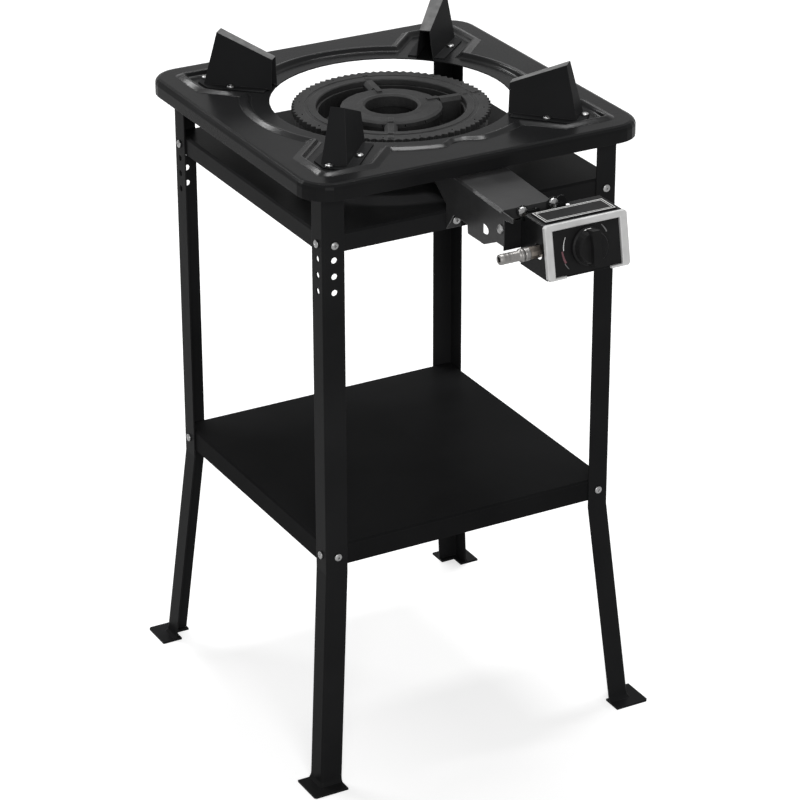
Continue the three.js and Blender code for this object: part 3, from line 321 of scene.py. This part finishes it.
LOOKS = {
    "black_enamel": enamel_material("black_enamel", 1.1, 0.19),
    "cast_iron": iron_material(),
    "cover_steel": cover_material(),
    "zinc_plated_steel": plated_material("zinc_plated_steel", 0.27, 0.0, 0.3, (300, 300, 900)),
    "brass": plated_material("brass", 0.2, 0.12, 0.38, (900, 300, 300)),
    "nickel_plate": plated_material("nickel_plate", 0.2, 0.03, 0.42, (1400, 120, 120)),
    "silver_trim": trim_material(),
    "black_plastic": plastic_material("black_plastic", 0.011, 0.4, 900, 0.00005),
}
WHITE_INK = print_material("white_ink", (0.75, 0.75, 0.74))
RED_INK = print_material("red_ink", (0.11, 0.035, 0.045))
GREY_INK = print_material("grey_ink", (0.12, 0.12, 0.12))

# The top faces of the pot supports get a painted highlight in pale grey from this height up, just
# over the plate.
TOP_HIGHLIGHT_ABOVE = 0.708
BEAD_ENAMEL = enamel_material("bead_black_enamel", 1.17, 0.16)
SATIN_ENAMEL = enamel_material("satin_black_enamel", 1.07, 0.28, 1.25)
DULL_ENAMEL = enamel_material("dull_black_enamel", 1.04, 0.4)
BURNT_ENAMEL_LIT_TOPS = enamel_material("burnt_black_enamel_painted_tops", 1.04, 0.34, 1.8, 0.06, TOP_HIGHLIGHT_ABOVE)


def look_of(node, slot):
    """The legs, tray and shelf are duller than the pressed plate, and the supports are burnt,
    with a painted highlight on their tops.
    """
    if node == "lower_shelf":
        return DULL_ENAMEL
    if node.startswith("leg_") or node == "drip_tray":
        return SATIN_ENAMEL
    if node.startswith("pot_support_"):
        return BURNT_ENAMEL_LIT_TOPS
    return LOOKS[slot]


for row in frame["record"]["subparts"]:
    mesh = nodes[row["node"]].data
    mesh.materials.clear()
    mesh.materials.append(look_of(row["node"], row["material_slot"]))


# ---------------------------------------------------------------- pieces added to the frame
# Middle of the control panel's face, and how far that face leans back.
PANEL_AT = Vector((0.037, -0.261148, 0.644982))
PANEL_TILT = math.radians(10.5)
PANEL = Matrix.Translation(PANEL_AT) @ Matrix.Rotation(-PANEL_TILT, 4, "X")


def piece(name, vertices, faces, material, body, place=Matrix.Identity(4)):
    mesh = bpy.data.meshes.new(name)
    mesh.from_pydata([place @ Vector(v) for v in vertices], [], faces)
    work = bmesh.new()
    work.from_mesh(mesh)
    bmesh.ops.recalc_face_normals(work, faces=work.faces)
    work.to_mesh(mesh)
    work.free()
    mesh.materials.append(material)
    made = linked(name, mesh)
    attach(made, body)
    return made


def ribbon(inner, outer, low, high):
    """A thin closed strip between two lines of equal point count, from one height to another."""
    count = len(inner)
    points = [(*p, low) for p in inner] + [(*p, low) for p in outer]
    points += [(*p, high) for p in inner] + [(*p, high) for p in outer]
    faces = []
    for i in range(count - 1):
        j = i + 1
        faces += [
            (i, j, count + j, count + i),
            (2 * count + i, 3 * count + i, 3 * count + j, 2 * count + j),
            (i, 2 * count + i, 2 * count + j, j),
            (count + i, count + j, 3 * count + j, 3 * count + i),
        ]
    last = count - 1
    faces.append((0, count, 3 * count, 2 * count))
    faces.append((last, 2 * count + last, 3 * count + last, count + last))
    return points, faces


DIAL_FRONT = -3.2 * MM
DIAL_STEPS = 28
INK = 0.12 * MM


def on_circle(radius, turn):
    return (radius * math.cos(turn), radius * math.sin(turn))


def dial_mark(name, material, start, end, middle, width):
    """An arc printed on the dial, whose width changes evenly from one end to the other."""
    inner, outer = [], []
    for i in range(DIAL_STEPS + 1):
        share = i / DIAL_STEPS
        turn = math.radians(start + (end - start) * share)
        wide = width[0] + (width[1] - width[0]) * share
        inner.append(on_circle(middle - wide / 2, turn))
        outer.append(on_circle(middle + wide / 2, turn))
    points, faces = ribbon(inner, outer, 0, INK)
    points = [(x, DIAL_FRONT - high, z) for x, z, high in points]
    piece(name, points, faces, material, "stand", PANEL)


dial_mark("dial_arc_white", WHITE_INK, 152, 181, 0.0272, (0.0004, 0.0009))
dial_mark("dial_arc_red", RED_INK, 182, 208, 0.0288, (0.0018, 0.0024))
dial_mark("dial_arc_low", GREY_INK, 208, 222, 0.0302, (0.0009, 0.0006))
dial_mark("dial_arc_high", GREY_INK, 22, 44, 0.0262, (0.0016, 0.0008))


KNOB_RIM = 18.45 * MM
# The index line's ends round the rim, in degrees, and how far in front of the panel it lies.
MARK_START, MARK_SPAN, MARK_STEPS = 108, 32, 8
MARK_BACK, MARK_FRONT = 9.6 * MM, 11.9 * MM


def knob_mark():
    """White index line on the rim of the knob, at the top of its grip."""
    inner, outer = [], []
    for i in range(MARK_STEPS + 1):
        turn = math.radians(MARK_START - MARK_SPAN * i / MARK_STEPS)
        inner.append(on_circle(KNOB_RIM, turn))
        outer.append(on_circle(KNOB_RIM + INK, turn))
    points, faces = ribbon(inner, outer, MARK_BACK, MARK_FRONT)
    points = [(x, -depth, z) for x, z, depth in points]
    piece("knob_index_mark", points, faces, WHITE_INK, "control_knob", PANEL)


knob_mark()


def rectangle(half_x, half_y):
    return [(-half_x, -half_y), (half_x, -half_y), (half_x, half_y), (-half_x, half_y)]


def frame_line(name, half_x, half_y, width):
    """A thin rectangular line printed on the blank name plate."""
    low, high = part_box("blank_name_plate")
    centre = Vector(((low.x + high.x) / 2, (low.y + high.y) / 2, high.z))
    outside = rectangle(half_x, half_y)
    inside = rectangle(half_x - width, half_y - width)
    points, faces = ribbon(inside + inside[:1], outside + outside[:1], 0, INK)
    piece(name, points, faces, WHITE_INK, "stand", Matrix.Translation(centre))


frame_line("name_plate_line_outer", 0.041, 0.0132, 0.0007)
frame_line("name_plate_line_inner", 0.0385, 0.0107, 0.0005)


# ---------------------------------------------------------------- screws with a cross recess
# Head radius and height, shank radius and length, in millimetres.
STUBBY_SCREW = (4.3, 2.6, 2.2, 9)
TAB_SCREW = (4.6, 2.8, 2.2, 8)
SCREW_SIDES = 24
# A head's heights, in shares of the whole: its straight side, its dome's foot and its dome.
HEAD_SIDE, DOME_FOOT, DOME_RISE = 0.4, 0.42, 0.58
# Where the dome has its points, in radians from its top.
DOME_TURNS = (0.35, 0.7, 1.05, 1.35)
# The recess in shares of the head's radius or height, and its floor in shares of its mouth.
RECESS_REACH, RECESS_DEPTH, RECESS_HALF = 0.52, 0.5, 0.12
RECESS_FLOOR_REACH, RECESS_FLOOR_HALF = 0.45, 0.7
# The recess of each screw is turned on from the last one's by this many radians.
TURN_STEP = 0.7
SCREW_KINDS = ("support_screw", "shelf_screw", "tray_screw", "cover_screw")


def lathe(work, profile, sides):
    """Turns a profile of (radius, height) points about Z, closed at both ends."""
    turns = [2 * math.pi * i / sides for i in range(sides)]
    rings = []
    for radius, height in profile:
        around = turns if radius else turns[:1]
        rings.append([work.verts.new((*on_circle(radius, turn), height)) for turn in around])
    for low, high in zip(rings, rings[1:]):
        for i in range(sides):
            j = (i + 1) % sides
            below = [low[i % len(low)], low[j % len(low)]]
            above = [high[j % len(high)], high[i % len(high)]]
            work.faces.new(list(dict.fromkeys(below + above)))
    bmesh.ops.recalc_face_normals(work, faces=work.faces)


def cross_cutter(reach, depth, half, height):
    """Two tapered blades at right angles, wider at the top, for a screwdriver's recess."""
    work = bmesh.new()
    for turn in (0, math.pi / 2):
        spin = Matrix.Rotation(turn, 3, "Z")
        low = rectangle(reach * RECESS_FLOOR_REACH, half * RECESS_FLOOR_HALF)
        top = rectangle(reach, half)
        floor = [work.verts.new(spin @ Vector((x, y, height - depth))) for x, y in low]
        roof = [work.verts.new(spin @ Vector((x, y, height + depth))) for x, y in top]
        work.faces.new(floor[::-1])
        work.faces.new(roof)
        for i in range(4):
            j = (i + 1) % 4
            work.faces.new((floor[i], floor[j], roof[j], roof[i]))
    return work


def mesh_of(name, work):
    mesh = bpy.data.meshes.new(name)
    work.to_mesh(mesh)
    work.free()
    return mesh


def screw_mesh(name, sizes):
    """A pan-head screw with a cross recess, the underside of its head at z = 0."""
    head_r, head_h, shank_r, length = [size * MM for size in sizes]
    profile = [(0, head_h)]
    for turn in DOME_TURNS:
        height = head_h * (DOME_FOOT + DOME_RISE * math.cos(turn))
        profile.append((head_r * math.sin(turn), height))
    profile += [(head_r, head_h * HEAD_SIDE), (head_r, 0), (shank_r, 0)]
    profile += [(shank_r, -length + shank_r * 0.5), (shank_r * 0.5, -length), (0, -length)]
    work = bmesh.new()
    lathe(work, profile, SCREW_SIDES)
    body = linked(name, mesh_of(name, work))
    recess = (head_r * RECESS_REACH, head_h * RECESS_DEPTH, head_r * RECESS_HALF, head_h)
    cutter = linked(name + "_cutter", mesh_of(name + "_cutter", cross_cutter(*recess)))
    cut = body.modifiers.new("recess", "BOOLEAN")
    cut.object = cutter
    cut.operation = "DIFFERENCE"
    cut.solver = "EXACT"
    cut.use_self = True
    finished = body.evaluated_get(bpy.context.evaluated_depsgraph_get())
    made = bpy.data.meshes.new_from_object(finished)
    made.name = name
    for spare in (body, cutter):
        bpy.data.objects.remove(spare)
    made.materials.clear()
    made.materials.append(LOOKS["zinc_plated_steel"])
    return made


def outward(node):
    """The way a screw's head faces, from the name of its node."""
    if node.startswith("support_screw"):
        return Vector((0, 0, 1))
    if node.startswith("cover_screw"):
        return Vector((0, -1, 0))
    if node.endswith("_side"):
        return Vector((-1 if "_left_" in node else 1, 0, 0))
    return Vector((0, -1 if "_front_" in node else 1, 0))


def replace_node(name, made):
    """Puts a finer piece in the place of a node of the stand."""
    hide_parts(name)
    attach(made, "stand")


def place_screws():
    """Puts a finer screw in the place of each plain one, with its recess turned its own way."""
    stubby = screw_mesh("stubby_screw", STUBBY_SCREW)
    tab = screw_mesh("tab_screw", TAB_SCREW)
    names = sorted(name for name in nodes if name.startswith(SCREW_KINDS))
    for index, name in enumerate(names):
        in_tab = name.startswith("cover_screw")
        mesh, sizes = (tab, TAB_SCREW) if in_tab else (stubby, STUBBY_SCREW)
        low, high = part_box(name)
        axis = outward(name)
        seat = (low + high) / 2
        for k in range(3):
            if axis[k]:
                end = high[k] if axis[k] > 0 else low[k]
                seat[k] = end - axis[k] * sizes[1] * MM
        fine = linked(name + "_fine", mesh)
        facing = axis.to_track_quat("Z", "Y").to_matrix().to_4x4()
        turned = Matrix.Rotation(TURN_STEP * index, 4, "Z")
        fine.matrix_world = Matrix.Translation(seat) @ facing @ turned
        replace_node(name, fine)


place_screws()


# ---------------------------------------------------------------- hose nipple
# Radius, and length from the inlet arm outwards, in millimetres.
NIPPLE = (
    (0, 20),
    (3.0, 20),
    (3.0, 33.8),
    (3.4, 34.2),
    (4.5, 34.2),
    (5.1, 33.7),
    (5.3, 33.0),
    (5.6, 30.0),
    (5.6, 29.6),
    (5.4, 29.3),
    (5.6, 25.0),
    (5.6, 24.6),
    (5.4, 24.3),
    (5.6, 20.0),
    (5.6, 19.6),
    (5.4, 19.3),
    (5.45, 13.0),
    (5.45, 10.6),
    (6.3, 10.4),
    (6.8, 9.9),
    (6.9, 9.2),
    (6.9, 6.6),
    (6.5, 6.2),
    (6.5, 5.2),
    (6.9, 4.8),
    (6.9, 0.6),
    (6.6, 0),
    (0, 0),
)
NIPPLE_SIDES = 40
# Faces smaller than this, in square metres, are shaded smooth; the end faces stay flat.
SMALL_FACE = 0.000004


def make_nipple():
    """A smooth nipple with low barbs and a round collar, open at its end."""
    work = bmesh.new()
    lathe(work, [(radius * MM, length * MM) for radius, length in NIPPLE], NIPPLE_SIDES)
    mesh = mesh_of("hose_nipple_turned", work)
    mesh.materials.append(LOOKS["nickel_plate"])
    for polygon in mesh.polygons:
        polygon.use_smooth = polygon.area < SMALL_FACE
    made = linked("hose_nipple_turned", mesh)
    low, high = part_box("hose_nipple")
    seat = Vector((high.x, (low.y + high.y) / 2, (low.z + high.z) / 2))
    made.matrix_world = Matrix.Translation(seat) @ Matrix.Rotation(-math.pi / 2, 4, "Y")
    replace_node("hose_nipple", made)


make_nipple()


# ---------------------------------------------------------------- pressed relief of the top plate
# Millimetres: heights over the floor, and the outline from the middle of the plate.
PLATE_TOP = 702.0
PLATE_MIDDLE_Y = 75.1006
RELIEF_R = 163.5
RELIEF_RAMP = 15.0
RELIEF_FALL = 2.7
# A pad runs out to each corner, round a pot support.
PAD_EDGE = 176.5
PAD_SIDE = 46.0
PAD_ROUND = 12.0
PAD_LEAST_ROUND = 2.0
# The outline turns in at the front, and where that starts and ends, in degrees.
NOTCH = 10.4
NOTCH_IN, NOTCH_OUT = (261.5, 266.5), (270, 279.5)
CORNER_STEPS, ARC_STEPS = 8, 44
# How far the bead's upper side is lifted off the plate's face, and its underside sunk below it.
BEAD_LIFT, BEAD_SINK = 0.06, 0.3
# Width inwards from the outline, and height over the plate's top, along the bead's section.
BEAD = (
    (0.2, 0.0),
    (0.8, 0.1),
    (1.4, 0.33),
    (2.2, 0.69),
    (5.4, 2.13),
    (6.0, 2.4),
    (6.7, 2.64),
    (7.6, 2.74),
    (8.4, 2.62),
    (9.1, 2.15),
    (9.8, 1.2),
    (10.5, -0.1),
    (11.2, -1.3),
    (11.9, -1.95),
    (12.8, -2.27),
    (13.6, -2.43),
)


def smooth(value, low, high):
    share = min(max((value - low) / (high - low), 0.0), 1.0)
    return share * share * (3 - 2 * share)


def notch_at(degrees):
    return NOTCH * smooth(degrees, *NOTCH_IN) * (1 - smooth(degrees, *NOTCH_OUT))


def relief_outline(inset):
    """Outline of the pressed relief, moved inwards: an arc round the hole between four pads."""
    side = PAD_SIDE - inset
    edge = PAD_EDGE - inset
    rounding = max(PAD_ROUND - inset, PAD_LEAST_ROUND)
    radius = RELIEF_R - inset
    meet = math.degrees(math.asin(side / radius))
    tip = math.sqrt(2) * (edge - rounding)
    outline = []
    for diagonal in (45, 135, 225, 315):
        turn = Matrix.Rotation(math.radians(diagonal), 2)
        shoulder = math.sqrt(2) * edge - side
        pad = [Vector((shoulder, -side))]
        for i in range(2 * CORNER_STEPS + 1):
            bend = math.radians(-45 + 90 * i / (2 * CORNER_STEPS))
            pad.append(Vector((tip + rounding * math.cos(bend), rounding * math.sin(bend))))
        pad.append(Vector((shoulder, side)))
        outline += [turn @ point for point in pad]
        for i in range(ARC_STEPS + 1):
            degrees = diagonal + meet + (90 - 2 * meet) * i / ARC_STEPS
            outline.append(Vector(on_circle(radius - notch_at(degrees), math.radians(degrees))))
    return outline


def relief_bead():
    """The raised edge pressed round the well of the top plate, closed below by the plate."""
    rim, foot = relief_outline(0), relief_outline(RELIEF_RAMP)

    def ring(share, height):
        line = [a.lerp(b, share) for a, b in zip(rim, foot)]
        return [(p.x * MM, p.y * MM, height * MM) for p in line]

    rings = [ring(inset / RELIEF_RAMP, PLATE_TOP + height + BEAD_LIFT) for inset, height in BEAD]
    for inset, _ in reversed(BEAD):
        share = inset / RELIEF_RAMP
        rings.append(ring(share, PLATE_TOP - RELIEF_FALL * share - BEAD_SINK))
    count = len(rim)
    points = [point for line in rings for point in line]
    faces = []
    for a in range(len(rings)):
        b = (a + 1) % len(rings)
        for i in range(count):
            j = (i + 1) % count
            faces.append((a * count + i, a * count + j, b * count + j, b * count + i))
    middle = Matrix.Translation((0, PLATE_MIDDLE_Y * MM, 0))
    bead = piece("plate_relief_bead", points, faces, BEAD_ENAMEL, "stand", middle)
    for polygon in bead.data.polygons:
        polygon.use_smooth = True


relief_bead()


# ---------------------------------------------------------------- studio
# The floor's own white near the object and far from it, over these distances from the middle.
FLOOR_GLOW, FLOOR_FAR_GLOW = 0.62, 0.95
GLOW_NEAR, GLOW_FAR = 1.2, 3.5
FLOOR_TONE = 0.55
FLOOR_HALF = 20
SKY_LIGHT = 0.3
BURNER_AT = Vector((0, 0.075, 0.7))


def background_share(tree):
    """1 for the rays that show the white background: camera, glossy and transmission rays."""
    path = tree.nodes.new("ShaderNodeLightPath")
    share = path.outputs["Is Camera Ray"]
    for name in ("Is Glossy Ray", "Is Transmission Ray"):
        larger = tree.nodes.new("ShaderNodeMath")
        larger.operation = "MAXIMUM"
        tree.links.new(share, larger.inputs[0])
        tree.links.new(path.outputs[name], larger.inputs[1])
        share = larger.outputs[0]
    return share


def floor_material():
    """A matt floor that keeps the shadow, lifted to white where it is seen."""
    m = Nodes("white_floor")
    out = m.tree.nodes["Material Output"]
    m.tree.nodes.remove(m.shader)
    distance = m.add("ShaderNodeVectorMath")
    distance.operation = "LENGTH"
    m.put(distance.inputs[0], m.coords)
    away = distance.outputs["Value"]
    lift = m.spread(away, FLOOR_GLOW, FLOOR_FAR_GLOW, GLOW_NEAR, GLOW_FAR)
    level = m.times(background_share(m.tree), lift)
    glow = m.add("ShaderNodeEmission", Color=WHITE, Strength=level)
    matt = m.add("ShaderNodeBsdfDiffuse", Color=grey(FLOOR_TONE))
    both = m.add("ShaderNodeAddShader")
    m.put(both.inputs[0], glow.outputs[0])
    m.put(both.inputs[1], matt.outputs[0])
    m.put(out.inputs["Surface"], both.outputs[0])
    return m.material


def make_floor():
    mesh = bpy.data.meshes.new("floor")
    corners = [(*corner, 0) for corner in rectangle(FLOOR_HALF, FLOOR_HALF)]
    mesh.from_pydata(corners, [], [(0, 1, 2, 3)])
    mesh.materials.append(floor_material())
    linked("floor", mesh)


make_floor()


def make_world():
    """Soft light from all sides, and plain white where the background is seen."""
    world = bpy.data.worlds.new("studio")
    scene.world = world
    world.use_nodes = True
    tree = world.node_tree
    soft = tree.nodes["Background"]
    soft.inputs["Color"].default_value = WHITE
    soft.inputs["Strength"].default_value = SKY_LIGHT
    white = tree.nodes.new("ShaderNodeBackground")
    white.inputs["Color"].default_value = WHITE
    choice = tree.nodes.new("ShaderNodeMixShader")
    tree.links.new(background_share(tree), choice.inputs[0])
    tree.links.new(soft.outputs[0], choice.inputs[1])
    tree.links.new(white.outputs[0], choice.inputs[2])
    tree.links.new(choice.outputs[0], tree.nodes["World Output"].inputs["Surface"])


make_world()


def lamp(name, toward, distance, size, power, along):
    """A softbox in the given direction from the burner, facing it, with its length one way."""
    data = bpy.data.lights.new(name, "AREA")
    data.shape = "RECTANGLE"
    data.size, data.size_y = size
    data.energy = power
    made = linked(name, data)
    away = Vector(toward).normalized()
    across = away.cross(Vector(along)).normalized()
    basis = Matrix((across.cross(away), across, away)).transposed().to_4x4()
    made.matrix_world = Matrix.Translation(BURNER_AT + away * distance) @ basis


lamp("softbox_over", (0.225, 0.21, 0.925), 2.4, (1.5, 0.2), 54, (0.914, -0.406, 0))
lamp("softbox_back", (-0.277, 0.766, 0.579), 2.7, (1.7, 0.25), 32, (1, 0, 0))
lamp("softbox_front", (-0.35, -0.88, 0.32), 3.2, (1.6, 1.6), 60, (1, -0.3, 0))

scene.view_settings.view_transform = "Standard"
